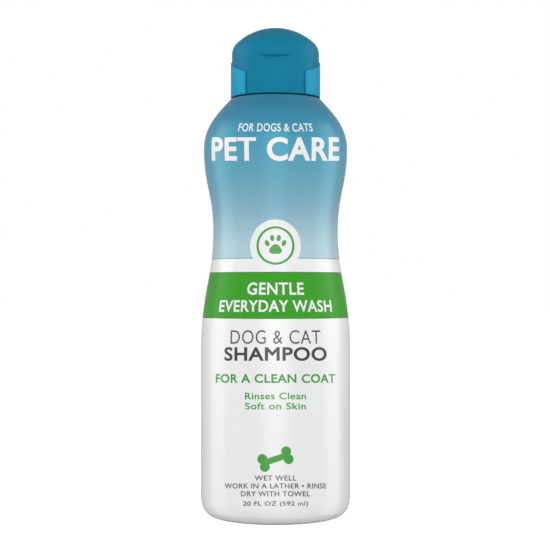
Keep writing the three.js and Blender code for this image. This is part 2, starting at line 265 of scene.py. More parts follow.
def moved_in(points, distance):
    """A side line moved square to itself towards the axis."""
    moved = []
    for i, (r, z) in enumerate(points):
        before, after = points[max(i - 1, 0)], points[min(i + 1, len(points) - 1)]
        along = Vector((after[0] - before[0], after[1] - before[1])).normalized()
        moved.append((r - along.y * distance, z + along.x * distance))
    return moved


def arc(centre, radius, start, end, steps):
    """Points on an arc in a flat outline; angles in degrees, 0 to the right and 90 up."""
    turns = [math.radians(start + (end - start) * i / steps) for i in range(steps + 1)]
    return [(centre[0] + radius * math.cos(a), centre[1] + radius * math.sin(a)) for a in turns]


# -------- mesh helpers


def spun(profile, closed=False, steps=AROUND):
    """A bmesh of a (radius, height) profile turned once about the bottle's axis."""
    bm = bmesh.new()
    verts = [bm.verts.new((r, 0, z)) for r, z in profile]
    edges = [bm.edges.new(pair) for pair in zip(verts, verts[1:])]
    if closed:
        edges.append(bm.edges.new((verts[-1], verts[0])))
    bmesh.ops.spin(
        bm, geom=verts + edges, cent=(0, 0, 0), axis=(0, 0, 1), dvec=(0, 0, 0),
        angle=2 * math.pi, steps=steps, use_merge=True, use_duplicate=False,
    )
    bmesh.ops.remove_doubles(bm, verts=bm.verts, dist=1e-7)
    bmesh.ops.recalc_face_normals(bm, faces=bm.faces)
    return bm


def made(name, bm, smooth_angle=35):
    """An object of that bmesh, smooth except across edges sharper than smooth_angle degrees."""
    mesh = bpy.data.meshes.new(name)
    bm.to_mesh(mesh)
    bm.free()
    mesh.shade_smooth()
    mesh.set_sharp_from_angle(angle=math.radians(smooth_angle))
    piece = bpy.data.objects.new(name, mesh)
    bpy.context.scene.collection.objects.link(piece)
    return piece


def block(low, high):
    """A bmesh box between two corners."""
    bm = bmesh.new()
    size = Vector(high) - Vector(low)
    place = Matrix.Translation((Vector(low) + Vector(high)) / 2) @ Matrix.Diagonal((*size, 1))
    bmesh.ops.create_cube(bm, size=1, matrix=place)
    return bm


def slab(outline, left, right):
    """A bmesh of a closed (y, z) outline drawn out sideways from left to right."""
    bm = bmesh.new()
    face = bm.faces.new([bm.verts.new((left, y, z)) for y, z in outline])
    grown = bmesh.ops.extrude_face_region(bm, geom=[face])["geom"]
    moved = [g for g in grown if isinstance(g, bmesh.types.BMVert)]
    bmesh.ops.translate(bm, verts=moved, vec=(right - left, 0, 0))
    bmesh.ops.recalc_face_normals(bm, faces=bm.faces)
    return bm


def combined(target, other, operation):
    """Cuts, joins or overlaps target, a bmesh, with another one, and gives a new bmesh."""
    first, second = made("target", target), made("tool", other)
    modifier = first.modifiers.new("combine", "BOOLEAN")
    modifier.object = second
    modifier.operation = operation
    modifier.solver = "EXACT"
    done = first.evaluated_get(bpy.context.evaluated_depsgraph_get()).to_mesh()
    bm = bmesh.new()
    bm.from_mesh(done)
    for spent in (first, second):
        mesh = spent.data
        bpy.data.objects.remove(spent)
        bpy.data.meshes.remove(mesh)
    bmesh.ops.remove_doubles(bm, verts=bm.verts, dist=2e-7)
    bmesh.ops.dissolve_degenerate(bm, edges=bm.edges, dist=2e-7)
    return bm


def cut(target, tool):
    return combined(target, tool, "DIFFERENCE")


def joined(target, tool):
    return combined(target, tool, "UNION")


def kept_within(target, tool):
    return combined(target, tool, "INTERSECT")


def broken_edges(bm, size, where=lambda point: True, segments=2, sharper_than=50):
    """Rounds the sharp edges whose middle point passes the test."""
    limit = math.radians(sharper_than)
    edges = [
        e for e in bm.edges
        if len(e.link_faces) == 2 and e.calc_face_angle(0) > limit
        and where((e.verts[0].co + e.verts[1].co) / 2)
    ]
    bmesh.ops.bevel(
        bm, geom=edges, offset=size, offset_type="OFFSET", segments=segments, profile=0.5,
        affect="EDGES", clamp_overlap=True, material=-1,
    )
    return bm


def thread_ridge(root, crest, start_angle, turns):
    """A helical ridge from a root radius to a crest radius, which sinks into its wall at both ends."""
    bm = bmesh.new()
    section = [
        (root, -THREAD_FOOT_HALF), (crest, -THREAD_CREST_HALF),
        (crest, THREAD_CREST_HALF), (root, THREAD_FOOT_HALF),
    ]
    verts = [bm.verts.new((r, 0, THREAD_START + z)) for r, z in section]
    edges = [bm.edges.new((verts[i - 1], verts[i])) for i in range(len(verts))]
    steps = round(72 * turns)
    bmesh.ops.spin(
        bm, geom=verts + edges, cent=(0, 0, 0), axis=(0, 0, 1),
        dvec=(0, 0, THREAD_PITCH * turns / steps), angle=2 * math.pi * turns, steps=steps,
        use_merge=False, use_duplicate=False,
    )
    for v in bm.verts:
        around = math.atan2(v.co.y, v.co.x) % (2 * math.pi)
        climbed = (v.co.z - THREAD_START) / THREAD_PITCH
        passed = around + 2 * math.pi * round(climbed - around / (2 * math.pi))
        to_end = min(passed, 2 * math.pi * turns - passed)
        sunk = max(0, 1 - to_end / THREAD_RUN_IN)
        reach = v.co.xy.length
        v.co.xy *= (reach + (root - crest) * 1.1 * sunk) / reach
    bmesh.ops.holes_fill(bm, edges=[e for e in bm.edges if e.is_boundary])
    bmesh.ops.rotate(bm, verts=bm.verts, matrix=Matrix.Rotation(start_angle, 3, "Z"))
    bmesh.ops.recalc_face_normals(bm, faces=bm.faces)
    return bm


# -------- shader groups


def shader_group(name, inputs, outputs):
    """An empty shader node group with named sockets, and its input and output nodes."""
    tree = bpy.data.node_groups.new(name, "ShaderNodeTree")
    for socket, (kind, value) in inputs.items():
        entry = tree.interface.new_socket(socket, in_out="INPUT", socket_type="NodeSocket" + kind)
        if value is not None:
            entry.default_value = value
    for socket, kind in outputs.items():
        tree.interface.new_socket(socket, in_out="OUTPUT", socket_type="NodeSocket" + kind)
    return tree, tree.nodes.new("NodeGroupInput"), tree.nodes.new("NodeGroupOutput")


def add(tree, kind, values=None, **settings):
    """A node with its settings, and with values or links on its inputs."""
    node = tree.nodes.new("ShaderNode" + kind)
    for setting, value in settings.items():
        setattr(node, setting, value)
    for socket, value in (values or {}).items():
        if isinstance(value, bpy.types.NodeSocket):
            tree.links.new(value, node.inputs[socket])
        else:
            node.inputs[socket].default_value = value
    return node


def remapped(tree, value, low, high, to_low, to_high):
    """A value stretched from one range to another, and held inside it."""
    values = {"Value": value, "From Min": low, "From Max": high, "To Min": to_low, "To Max": to_high}
    return add(tree, "MapRange", values).outputs["Result"]


def moulded_grain():
    """Skin of a moulding: a fine grain on slow waves. Vector is in millimetres."""
    tree, given, result = shader_group(
        "moulded_grain",
        {"Vector": ("Vector", None), "Grain": ("Float", 2.0), "Waves": ("Float", 0.12)},
        {"Height": "Float"},
    )
    vector = given.outputs["Vector"]
    fine = add(tree, "TexNoise", {"Vector": vector, "Scale": given.outputs["Grain"], "Detail": 3.0})
    slow = add(tree, "TexNoise", {"Vector": vector, "Scale": given.outputs["Waves"], "Detail": 1.0})
    fine_part = add(tree, "Math", {0: fine.outputs[0], 1: 0.12}, operation="MULTIPLY")
    total = add(tree, "Math", {0: fine_part.outputs[0], 1: slow.outputs[0]}, operation="ADD")
    tree.links.new(total.outputs[0], result.inputs["Height"])
    return tree


def handling_marks():
    """Where a surface has been handled: soft smudges and a few hairline rubs, from 0 to 1."""
    inputs = {"Vector": ("Vector", None)}
    tree, given, result = shader_group("handling_marks", inputs, {"Mask": "Float"})
    vector = given.outputs["Vector"]
    smudge = add(tree, "TexNoise", {"Vector": vector, "Scale": 0.05, "Detail": 2.0})
    soft = remapped(tree, smudge.outputs[0], 0.4, 0.8, 0.0, 0.7)
    stretch = {"Vector": vector, "Scale": (0.12, 0.12, 3.0), "Rotation": (0.35, 0.2, 0)}
    drawn = add(tree, "Mapping", stretch)
    hair = add(tree, "TexNoise", {"Vector": drawn.outputs[0], "Scale": 1.0, "Detail": 5.0})
    rubs = remapped(tree, hair.outputs[0], 0.6, 0.8, 0.0, 0.6)
    both = add(tree, "Math", {0: soft, 1: rubs}, operation="ADD", use_clamp=True)
    tree.links.new(both.outputs[0], result.inputs["Mask"])
    return tree


def worn_and_highlit_edges():
    """Edges rubbed smooth, which also carries a painted highlight along every edge, from 0 on flat faces
    to 1 on edges.
    """
    inputs = {"Radius": ("Float", 0.0004)}
    tree, given, result = shader_group("worn_and_highlit_edges", inputs, {"Mask": "Float"})
    rounded = add(tree, "Bevel", {"Radius": given.outputs["Radius"]}, samples=4)
    geometry = add(tree, "NewGeometry")
    normals = {0: rounded.outputs[0], 1: geometry.outputs["Normal"]}
    facing = add(tree, "VectorMath", normals, operation="DOT_PRODUCT")
    mask = remapped(tree, facing.outputs["Value"], 0.995, 0.8, 0.0, 1.0)
    tree.links.new(mask, result.inputs["Mask"])
    return tree


def tone_drift():
    """A colour that drifts a little lighter and darker over the surface. Vector is in millimetres."""
    tree, given, result = shader_group(
        "tone_drift",
        {
            "Vector": ("Vector", None), "Color": ("Color", (1, 1, 1, 1)),
            "Size": ("Float", 0.1), "Amount": ("Float", 0.04),
        },
        {"Color": "Color"},
    )
    where = {"Vector": given.outputs["Vector"], "Scale": given.outputs["Size"], "Detail": 3.0}
    cloud = add(tree, "TexNoise", where)
    swing = add(tree, "Math", {0: cloud.outputs[0], 1: 0.5}, operation="SUBTRACT")
    scaled = add(tree, "Math", {0: swing.outputs[0], 1: given.outputs["Amount"]}, operation="MULTIPLY")
    gain = add(tree, "Math", {0: scaled.outputs[0], 1: 1.0}, operation="ADD")
    shade = {0: given.outputs["Color"], "Scale": gain.outputs[0]}
    tinted = add(tree, "VectorMath", shade, operation="SCALE")
    tree.links.new(tinted.outputs[0], result.inputs["Color"])
    return tree


def film_ripple():
    """Long shallow ripples left where film has shrunk tight. Vector is in millimetres."""
    inputs = {"Vector": ("Vector", None)}
    tree, given, result = shader_group("film_ripple", inputs, {"Height": "Float"})
    drawn = add(tree, "Mapping", {"Vector": given.outputs["Vector"], "Scale": (0.1, 0.1, 0.016)})
    ripple = add(tree, "TexNoise", {"Vector": drawn.outputs[0], "Scale": 1.0, "Detail": 0.0})
    tree.links.new(ripple.outputs[0], result.inputs["Height"])
    return tree


GROUPS = {
    make.__name__: make()
    for make in (moulded_grain, handling_marks, worn_and_highlit_edges, tone_drift, film_ripple)
}


def effect(tree, name, **values):
    """One of the shared groups, placed in a material."""
    node = tree.nodes.new("ShaderNodeGroup")
    node.node_tree = GROUPS[name]
    for socket, value in values.items():
        if isinstance(value, bpy.types.NodeSocket):
            tree.links.new(value, node.inputs[socket])
        else:
            node.inputs[socket].default_value = value
    return node.outputs[0]


MATERIALS = {}


def started(name, specular, coat=0.0, coat_roughness=0.1):
    """Starts a material under its name, and gives its tree, shader and point in millimetres."""
    material = bpy.data.materials.new(name)
    MATERIALS[name] = material
    material.use_nodes = True
    tree = material.node_tree
    shader = tree.nodes["Principled BSDF"]
    shader.inputs["Specular IOR Level"].default_value = specular
    shader.inputs["Coat Weight"].default_value = coat
    shader.inputs["Coat Roughness"].default_value = coat_roughness
    place = add(tree, "TexCoord").outputs["Object"]
    in_mm = add(tree, "Mapping", {"Vector": place, "Scale": (1000, 1000, 1000)}).outputs[0]
    return tree, shader, in_mm


def moulded_plastic(
    name, colour, worn_and_highlight_colour, sheen, specular=0.2, roughness=0.4, bump=0.02, grain=1.6
):
    """Satin moulded plastic: fine grain, handled patches with more gloss, and paler edges that are partly
    rub wear and partly a painted edge highlight.
    """
    tree, shader, point = started(name, specular)
    shader.inputs["Specular Tint"].default_value = (*sheen, 1)
    base = effect(tree, "tone_drift", Vector=point, Color=(*colour, 1), Size=0.07, Amount=0.08)
    # The paler edge colour is partly rub wear and partly a painted highlight on every edge.
    wear_and_highlight = effect(tree, "worn_and_highlit_edges", Radius=0.00045)
    part_worn_and_highlit = add(tree, "Math", {0: wear_and_highlight, 1: 0.55}, operation="MULTIPLY").outputs[0]
    shades = {"Factor": part_worn_and_highlit, "A": base, "B": (*worn_and_highlight_colour, 1)}
    mixed = add(tree, "Mix", shades, data_type="RGBA")
    tree.links.new(mixed.outputs["Result"], shader.inputs["Base Color"])
    marks = effect(tree, "handling_marks", Vector=point)
    rough = remapped(tree, marks, 0.0, 1.0, roughness, roughness - 0.1)
    tree.links.new(rough, shader.inputs["Roughness"])
    height = effect(tree, "moulded_grain", Vector=point, Grain=grain, Waves=0.1)
    relief = add(tree, "Bump", {"Height": height, "Strength": 0.6, "Distance": bump * MM})
    tree.links.new(relief.outputs[0], shader.inputs["Normal"])


def rippled(tree, shader, point):
    """Gives a surface the film's long ripples."""
    ripple = effect(tree, "film_ripple", Vector=point)
    relief = add(tree, "Bump", {"Height": ripple, "Strength": 0.5, "Distance": 0.04 * MM})
    tree.links.new(relief.outputs[0], shader.inputs["Normal"])


def printed_film(name, colour, sheen, specular=0.8):
    """Gloss film over print, which tints its sheen. colour may be (height, colour) stops."""
    tree, shader, point = started(name, specular)
    shader.inputs["Specular Tint"].default_value = (*sheen, 1)
    if isinstance(colour, list):
        height = add(tree, "SeparateXYZ", {0: point}).outputs["Z"]
        low, high = colour[0][0] / MM, colour[-1][0] / MM
        share = remapped(tree, height, low, high, 0.0, 1.0)
        ramp = add(tree, "ValToRGB", {0: share})
        stops = ramp.color_ramp.elements
        while len(stops) < len(colour):
            stops.new(0.5)
        for stop, (at, tint) in zip(stops, colour):
            stop.position = (at / MM - low) / (high - low)
            stop.color = (*tint, 1)
        tone = ramp.outputs[0]
    else:
        tone = (*colour, 1)
    base = effect(tree, "tone_drift", Vector=point, Color=tone, Size=0.15, Amount=0.02)
    tree.links.new(base, shader.inputs["Base Color"])
    shader.inputs["Roughness"].default_value = 0.28
    rippled(tree, shader, point)


def ink(name, colour):
    """Opaque ink on the film, with the film's gloss and a slight grain of its own."""
    tree, shader, point = started(name, 0.45, coat=0.2, coat_roughness=0.15)
    base = effect(tree, "tone_drift", Vector=point, Color=(*colour, 1), Size=1.2, Amount=0.1)
    tree.links.new(base, shader.inputs["Base Color"])
    shader.inputs["Roughness"].default_value = 0.38
    rippled(tree, shader, point)


def liner_foam():
    """Pale closed-cell foam, with a skin of tiny cells."""
    tree, shader, point = started("liner_foam", 0.3)
    pale = (0.78, 0.79, 0.76, 1)
    base = effect(tree, "tone_drift", Vector=point, Color=pale, Size=0.8, Amount=0.12)
    tree.links.new(base, shader.inputs["Base Color"])
    cells = add(tree, "TexVoronoi", {"Vector": point, "Scale": 4.0})
    rough = remapped(tree, cells.outputs["Distance"], 0.0, 0.7, 0.7, 0.95)
    tree.links.new(rough, shader.inputs["Roughness"])
    pitted = {"Height": cells.outputs["Distance"], "Strength": 0.7, "Distance": 0.08 * MM}
    relief = add(tree, "Bump", pitted)
    tree.links.new(relief.outputs[0], shader.inputs["Normal"])


# The blue of the film's upper part, by height.
BLUE_STOPS = [
    (120 * MM, (0.51, 0.684, 0.73)),
    (127 * MM, (0.474, 0.655, 0.717)),
    (142 * MM, (0.275, 0.50, 0.624)),
    (158 * MM, (0.149, 0.42, 0.555)),
    (173 * MM, (0.086, 0.362, 0.515)),
    (183 * MM, (0.058, 0.295, 0.46)),
    (191 * MM, (0.044, 0.235, 0.375)),
]

# After each plastic's colour comes its paler edge colour: rub wear and a painted edge highlight.
moulded_plastic(
    "bottle_plastic", (0.88, 0.885, 0.88), (0.95, 0.95, 0.94), (1, 1, 1),
    specular=0.4, roughness=0.42, bump=0.05, grain=1.2,
)
# Base and lid are one teal plastic: the base's copy is painted lighter as painted light, and the lid's
# copy darker as painted shade.
moulded_plastic("cap_plastic", (0.006, 0.34, 0.56), (0.05, 0.50, 0.68), (0.15, 0.8, 1))
moulded_plastic(
    "lid_plastic", (0.011, 0.222, 0.366), (0.02, 0.29, 0.45), (0.1, 0.6, 0.8), specular=0.12
)
liner_foam()
printed_film("film_white", (0.955, 0.955, 0.95), (1, 1, 1))
printed_film("film_green", (0.062, 0.378, 0.033), (0.08, 0.5, 0.1), specular=0.2)
printed_film("film_green_edge", (0.055, 0.28, 0.03), (0.08, 0.4, 0.1), specular=0.2)
printed_film("film_teal_line", (0.26, 0.44, 0.48), (0.5, 0.7, 0.8))
printed_film("film_blue", BLUE_STOPS, (0.2, 0.7, 0.85), specular=0.6)
ink("ink_white", (0.955, 0.955, 0.955))
ink("ink_green", (0.04, 0.36, 0.03))
ink("ink_charcoal", (0.05, 0.05, 0.053))


def finished(piece, body, slot, material, *nodes):
    """Gives a piece its material, its body and the CAD nodes that it stands for; slot is not used."""
    piece.data.materials.append(MATERIALS[material])
    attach(piece, body)
    if nodes:
        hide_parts(*nodes)


# -------- bottle


def bottle_shape():
    """The blow-moulded bottle: pushed-up base, waisted wall, shelf and threaded neck."""
    outer = moved_in(SIDE, WALL_INSET)
    outer[0] = (FOOT_RADIUS, 0)
    inner = moved_in(SIDE, WALL_INSET + BOTTLE_WALL)
    inner = [(r, max(z, BOTTLE_WALL)) for r, z in inner]
    shelf = outer[-1][1]
    under_shelf = inner[-1][1]
    dish = [(0, PUSH_UP), *DISH_PULLS, (FOOT_INNER_RADIUS, DISH_RIM)]
    floor = [(p.x, p.y) for p in interpolate_bezier(*(Vector(p).to_3d() for p in dish), 14)]
    root, land_edge, bore_edge, bore_fillet = 0.9 * MM, 0.4 * MM, 0.3 * MM, 2 * MM
    profile = [
        *floor,
        (FOOT_INNER_RADIUS + FOOT_EDGE, 0),
        *outer,
        (NECK_RADIUS + 1.2 * MM, shelf + 0.05 * MM),
        *arc((NECK_RADIUS + root, shelf + 0.95 * MM), root, 270, 180, 5),
        *arc((NECK_RADIUS - land_edge, LAND_HEIGHT - land_edge), land_edge, 0, 90, 4),
        *arc((NECK_BORE + bore_edge, LAND_HEIGHT - bore_edge), bore_edge, 90, 180, 3),
        *arc((NECK_BORE + bore_fillet, under_shelf + 0.5 * MM), bore_fillet, 180, 265, 5),
        *reversed(inner),
        *((r * 0.96, z + BOTTLE_WALL) for r, z in reversed(floor)),
    ]
    body = spun(profile)
    root_radius, crest_radius = NECK_RADIUS - THREAD_ROOTED, NECK_RADIUS + THREAD_DEPTH
    return joined(body, thread_ridge(root_radius, crest_radius, 0, NECK_THREAD_TURNS))


def pinch_off():
    """The scar across the base where the mould pinched the blown tube shut."""
    proud, droop, rooted = 0.35 * MM, 0.9 * MM, 0.6 * MM
    bm = block(
        (-SCAR_HALF_LENGTH, -SCAR_HALF_WIDTH, PUSH_UP - droop),
        (SCAR_HALF_LENGTH, SCAR_HALF_WIDTH, PUSH_UP + rooted),
    )
    for v in bm.verts:
        if v.co.z < PUSH_UP:
            v.co.z = PUSH_UP - proud - droop * (abs(v.co.x) / SCAR_HALF_LENGTH) ** 2
            v.co.y *= 0.5
    return broken_edges(bm, EDGE_BREAK)


# -------- film sleeve


def film_shape():
    """The sleeve, shrunk over the bottle's side line and shelf, with an uneven cut edge at its foot."""
    band_ends = {top for top, _ in BANDS if top < SHELF_HEIGHT}
    heights = sorted({z for _, z in SIDE if z > FILM_START} | {FILM_START} | band_ends)
    outer = [(radius_at(z), z) for z in heights]
    outer += [(SHELF_RADIUS - run, SHELF_HEIGHT + rise) for run, rise in FILM_COLLAR]
    inner = moved_in(outer, FILM_THICKNESS)
    bm = spun(outer + inner[::-1], closed=True)
    for v in bm.verts:
        if v.co.z < FILM_START + FILM_THICKNESS:
            v.co.z += 0.35 * MM * noise.noise(v.co * 60)
    return bm


def banded(piece):
    """Finishes a piece of film, with a colour of its own for each band."""
    for _, name in BANDS:
        piece.data.materials.append(MATERIALS[name])
    for face in piece.data.polygons:
        face.material_index = next(i for i, (top, _) in enumerate(BANDS) if face.center.z < top)
    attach(piece, "bottle")


def diced(bm, step, heights=()):
    """Cuts a flat bmesh in X and Z into cells small enough to follow the film, and at these heights."""
    planes = [(2, height) for height in heights]
    for axis in (0, 2):
        ends = [v.co[axis] for v in bm.verts]
        low, high = min(ends), max(ends)
        count = int((high - low) / step)
        planes += [(axis, low + (high - low) * i / (count + 1)) for i in range(1, count + 1)]
    for axis, at in planes:
        normal = Vector([1.0 if i == axis else 0.0 for i in range(3)])
        geometry = bm.verts[:] + bm.edges[:] + bm.faces[:]
        bmesh.ops.bisect_plane(bm, geom=geometry, dist=1e-7, plane_co=normal * at, plane_no=normal)
    return bm


def wrapped(bm, lift, turn=0.0):
    """Lays a flat bmesh round the film, drawn out at its ends and bowed so that it reads level."""
    heights = [v.co.z for v in bm.verts]
    ring = radius_at((min(heights) + max(heights)) / 2)
    half = max(abs(v.co.x) for v in bm.verts)
    for v in bm.verts:
        share = v.co.x / half
        straight_on = math.asin(share * math.sin(half / ring))
        aside = (1 - END_STRETCH) * v.co.x / ring + END_STRETCH * straight_on
        front = radius_at(v.co.z)
        bow = (CAMERA_DISTANCE - front * math.cos(aside)) / (CAMERA_DISTANCE - front)
        height = CAMERA_HEIGHT + (v.co.z - CAMERA_HEIGHT) * bow
        reach = radius_at(height) + lift
        v.co = (reach * math.sin(aside + turn), -reach * math.cos(aside + turn), height)
    bm.normal_update()
    outwards = 0
    for face in bm.faces:
        outwards += face.normal.dot(Vector((*face.calc_center_median().xy, 0))) * face.calc_area()
    if outwards < 0:
        bmesh.ops.reverse_faces(bm, faces=bm.faces)
    return bm


def film_seam():
    """The overlap down one side, where the flat film was joined into a tube."""
    half = SEAM_WIDTH / 2
    bm = outline_shape([(-half, FILM_START), (half, FILM_START), (half, SEAM_TOP), (-half, SEAM_TOP)])
    diced(bm, SEAM_CELL, [top for top, _ in BANDS if top < SHELF_HEIGHT])
    for v in bm.verts:
        v.co.x += SEAM_WAVER * noise.noise(Vector((v.co.x * 40, 0, v.co.z * 50)))
    seam = made("film_seam", wrapped(bm, SEAM_LIFT, SEAM_TURN))
    thicken(seam, SEAM_THICKNESS)
    banded(seam)


def thicken(piece, thickness):
    """Gives a skin its thickness, outwards, with a crisp rim."""
    bm = bmesh.new()
    bm.from_mesh(piece.data)
    for edge in bm.edges:
        if edge.is_boundary:
            edge.smooth = False
    bm.to_mesh(piece.data)
    bm.free()
    solidify = piece.modifiers.new("thickness", "SOLIDIFY")
    solidify.thickness = thickness
    solidify.offset = 1


# -------- print on the film


def emboldened(bm, weight):
    """Moves the edge of a flat shape outwards, or inwards for a negative weight."""
    bm.normal_update()
    push = {}
    for edge in bm.edges:
        if not edge.is_boundary:
            continue
        loop = edge.link_loops[0]
        along = (loop.link_loop_next.vert.co - loop.vert.co).normalized()
        outward = along.cross(loop.face.normal)
        for vert in edge.verts:
            push.setdefault(vert, []).append(outward)
    for vert, sides in push.items():
        if len(sides) == 2:
            first, second = sides
            vert.co += (first + second) * weight / max(1 + first.dot(second), 0.4)
    return bm


def words_shape(words, weight):
    """A flat bmesh of words in X and Z. weight thickens or thins the strokes."""
    curve = bpy.data.curves.new("words", "FONT")
    curve.body = words
    curve.space_character = LETTER_SPACING
    curve.resolution_u = 5
    holder = bpy.data.objects.new("words", curve)
    bpy.context.scene.collection.objects.link(holder)
    evaluated = holder.evaluated_get(bpy.context.evaluated_depsgraph_get())
    mesh = bpy.data.meshes.new_from_object(evaluated)
    bm = bmesh.new()
    bm.from_mesh(mesh)
    bpy.data.objects.remove(holder)
    bpy.data.curves.remove(curve)
    bpy.data.meshes.remove(mesh)
    bmesh.ops.remove_doubles(bm, verts=bm.verts, dist=1e-5)
    emboldened(bm, weight)
    bmesh.ops.rotate(bm, verts=bm.verts, matrix=Matrix.Rotation(math.pi / 2, 3, "X"))
    return bm


def fitted(bm, half_width, low, high):
    """Scales and moves a flat shape to fill a space on the film."""
    xs = [v.co.x for v in bm.verts]
    zs = [v.co.z for v in bm.verts]
    scale = (2 * half_width / (max(xs) - min(xs)), 1, (high - low) / (max(zs) - min(zs)))
    bmesh.ops.scale(bm, verts=bm.verts, vec=scale)
    shift = (-(max(xs) + min(xs)) / 2 * scale[0], 0, low - min(zs) * scale[2])
    bmesh.ops.translate(bm, verts=bm.verts, vec=shift)
    return bm


def printed(name, bm, material, lift=INK_LIFT, turn=0.0):
    """Lays a flat shape on the film as a thin layer of ink."""
    piece = made("print_" + name, wrapped(diced(bm, PRINT_CELL), lift, turn))
    thicken(piece, INK_THICKNESS)
    finished(piece, "bottle", "printed_film", material)


def outline_shape(*outlines):
    """A flat bmesh with a face for each outline of (x, z) points."""
    bm = bmesh.new()
    for outline in outlines:
        bm.faces.new([bm.verts.new((x, 0, z)) for x, z in outline])
    return bm


def leaned(points, centre, lean):
    """Flat (x, z) points turned by an angle in degrees, then moved to a centre."""
    turn = Matrix.Rotation(math.radians(lean), 2)
    turned = [turn @ Vector(p) for p in points]
    return [(centre[0] + p.x, centre[1] + p.y) for p in turned]


def oval(centre, across, up, lean=0.0, steps=40):
    """Points round an oval that leans by an angle in degrees."""
    turns = np.linspace(0, 2 * math.pi, steps, endpoint=False)
    return leaned([(across * math.cos(a), up * math.sin(a)) for a in turns], centre, lean)


def paw_outlines(centre, size):
    """A paw: a rounded three-cornered pad under four toes."""
    pad = []
    for a in np.linspace(0, 2 * math.pi, 60, endpoint=False):
        reach = size * (0.40 + 0.045 * math.cos(3 * (a - math.pi / 2)))
        aside, up = 1.12 * reach * math.cos(a), 0.9 * reach * math.sin(a)
        pad.append((centre[0] + aside, centre[1] - 0.30 * size + up))
    toes = [(-0.62, 0.17, 24), (-0.24, 0.55, 8), (0.24, 0.55, -8), (0.62, 0.17, -24)]
    return [pad] + [
        oval((centre[0] + x * size, centre[1] + z * size), 0.155 * size, 0.235 * size, lean)
        for x, z, lean in toes
    ]


def ring_shape(outer, inner, height):
    """A flat ring in X and Z."""
    bm = bmesh.new()
    place = Matrix.Translation((0, 0, height)) @ Matrix.Rotation(math.pi / 2, 4, "X")
    for radius in (outer, inner):
        bmesh.ops.create_circle(bm, cap_ends=False, radius=radius, segments=96, matrix=place)
    bmesh.ops.bridge_loops(bm, edges=bm.edges[:])
    return bm


def bone_outline(centre, half_length, lobe, lean):
    """A bone: a bar between two pairs of round lobes."""
    spread = 0.8 * lobe
    bar = 0.62 * lobe
    start = 180 - math.degrees(math.asin((bar - spread) / lobe))
    middle = -math.degrees(math.asin(spread / lobe))
    upper = arc((half_length, spread), lobe, start, middle, 20)
    right_end = [*upper, *((x, -z) for x, z in reversed(upper))]
    points = [*right_end, *((-x, z) for x, z in reversed(right_end))]
    return leaned(reversed(points), centre, lean)


# Name, words, then half width round the film, bottom and top in millimetres, stroke weight, ink.
FRONT_WORDS = [
    ("species", "FOR DOGS & CATS", 17.5, 176.4, 180.2, 0.014, "ink_white"),
    ("heading", "PET CARE", 35.6, 163.2, 173.9, 0.030, "ink_white"),
    ("band_upper", "GENTLE", 13.0, 103.4, 109.0, 0.022, "ink_white"),
    ("band_lower", "EVERYDAY WASH", 28.8, 95.8, 101.1, 0.02, "ink_white"),
    ("kind_light", "DOG & CAT", 21.5, 81.6, 87.7, -0.006, "ink_charcoal"),
    ("kind_bold", "SHAMPOO", 25.2, 74.0, 80.2, 0.024, "ink_charcoal"),
    ("purpose", "FOR A CLEAN COAT", 31.0, 64.2, 68.2, 0.024, "ink_green"),
    ("result_upper", "Rinses Clean", 14.0, 56.9, 59.9, 0.014, "ink_green"),
    ("result_lower", "Soft on Skin", 14.0, 52.4, 55.4, 0.014, "ink_green"),
    ("steps_upper", "WET WELL", 9.4, 20.7, 23.0, 0.012, "ink_charcoal"),
    ("steps_middle", "WORK IN A LATHER • RINSE", 25.0, 17.2, 19.5, 0.012, "ink_charcoal"),
    ("steps_lower", "DRY WITH TOWEL", 16.0, 13.7, 16.0, 0.012, "ink_charcoal"),
    ("contents", "20 FL OZ (592 ml)", 15.0, 8.9, 11.5, 0.010, "ink_charcoal"),
]
BACK_WORDS = [
    ("back_heading", "DIRECTIONS", 15.5, 80.4, 84.0, 0.024, "ink_green"),
    ("back_line_1", "1. WET THE COAT WITH WARM WATER", 24.0, 73.6, 75.8, 0.006, "ink_charcoal"),
    ("back_line_2", "2. WORK IN A LITTLE SHAMPOO", 20.9, 68.8, 71.0, 0.006, "ink_charcoal"),
    ("back_line_3", "3. LATHER FROM NECK TO TAIL", 20.7, 64.0, 66.2, 0.006, "ink_charcoal"),
    ("back_line_4", "4. RINSE WELL AND TOWEL DRY", 20.8, 59.2, 61.4, 0.006, "ink_charcoal"),
]


def print_words(lines, turn):
    """Prints rows of words, turned about the bottle's axis."""
    for name, words, half_width, low, high, weight, colour in lines:
        shape = fitted(words_shape(words, weight), half_width * MM, low * MM, high * MM)
        printed(name, shape, colour, turn=turn)


def print_emblems():
    """The white disc with its ringed paw, a bone below it, and a paw on the back."""
    middle = (0, EMBLEM_HEIGHT)
    disc = outline_shape(oval(middle, DISC_RADIUS, DISC_RADIUS, steps=128))
    printed("emblem_disc", disc, "ink_white")
    on_disc = INK_LIFT + INK_THICKNESS + 0.01 * MM
    ring = ring_shape(RING_RADIUS, RING_RADIUS - RING_LINE, EMBLEM_HEIGHT)
    printed("emblem_ring", ring, "ink_green", on_disc)
    printed("emblem_paw", outline_shape(*paw_outlines(middle, PAW_SIZE)), "ink_green", on_disc)
    bone = bone_outline((0, BONE_HEIGHT), half_length=5.6 * MM, lobe=2.25 * MM, lean=18)
    printed("bone", outline_shape(bone), "ink_green")
    back_paw = outline_shape(*paw_outlines((0, BACK_PAW_HEIGHT), 6.5 * MM))
    printed("back_paw", back_paw, "ink_white", turn=math.pi)


# -------- cap shapes


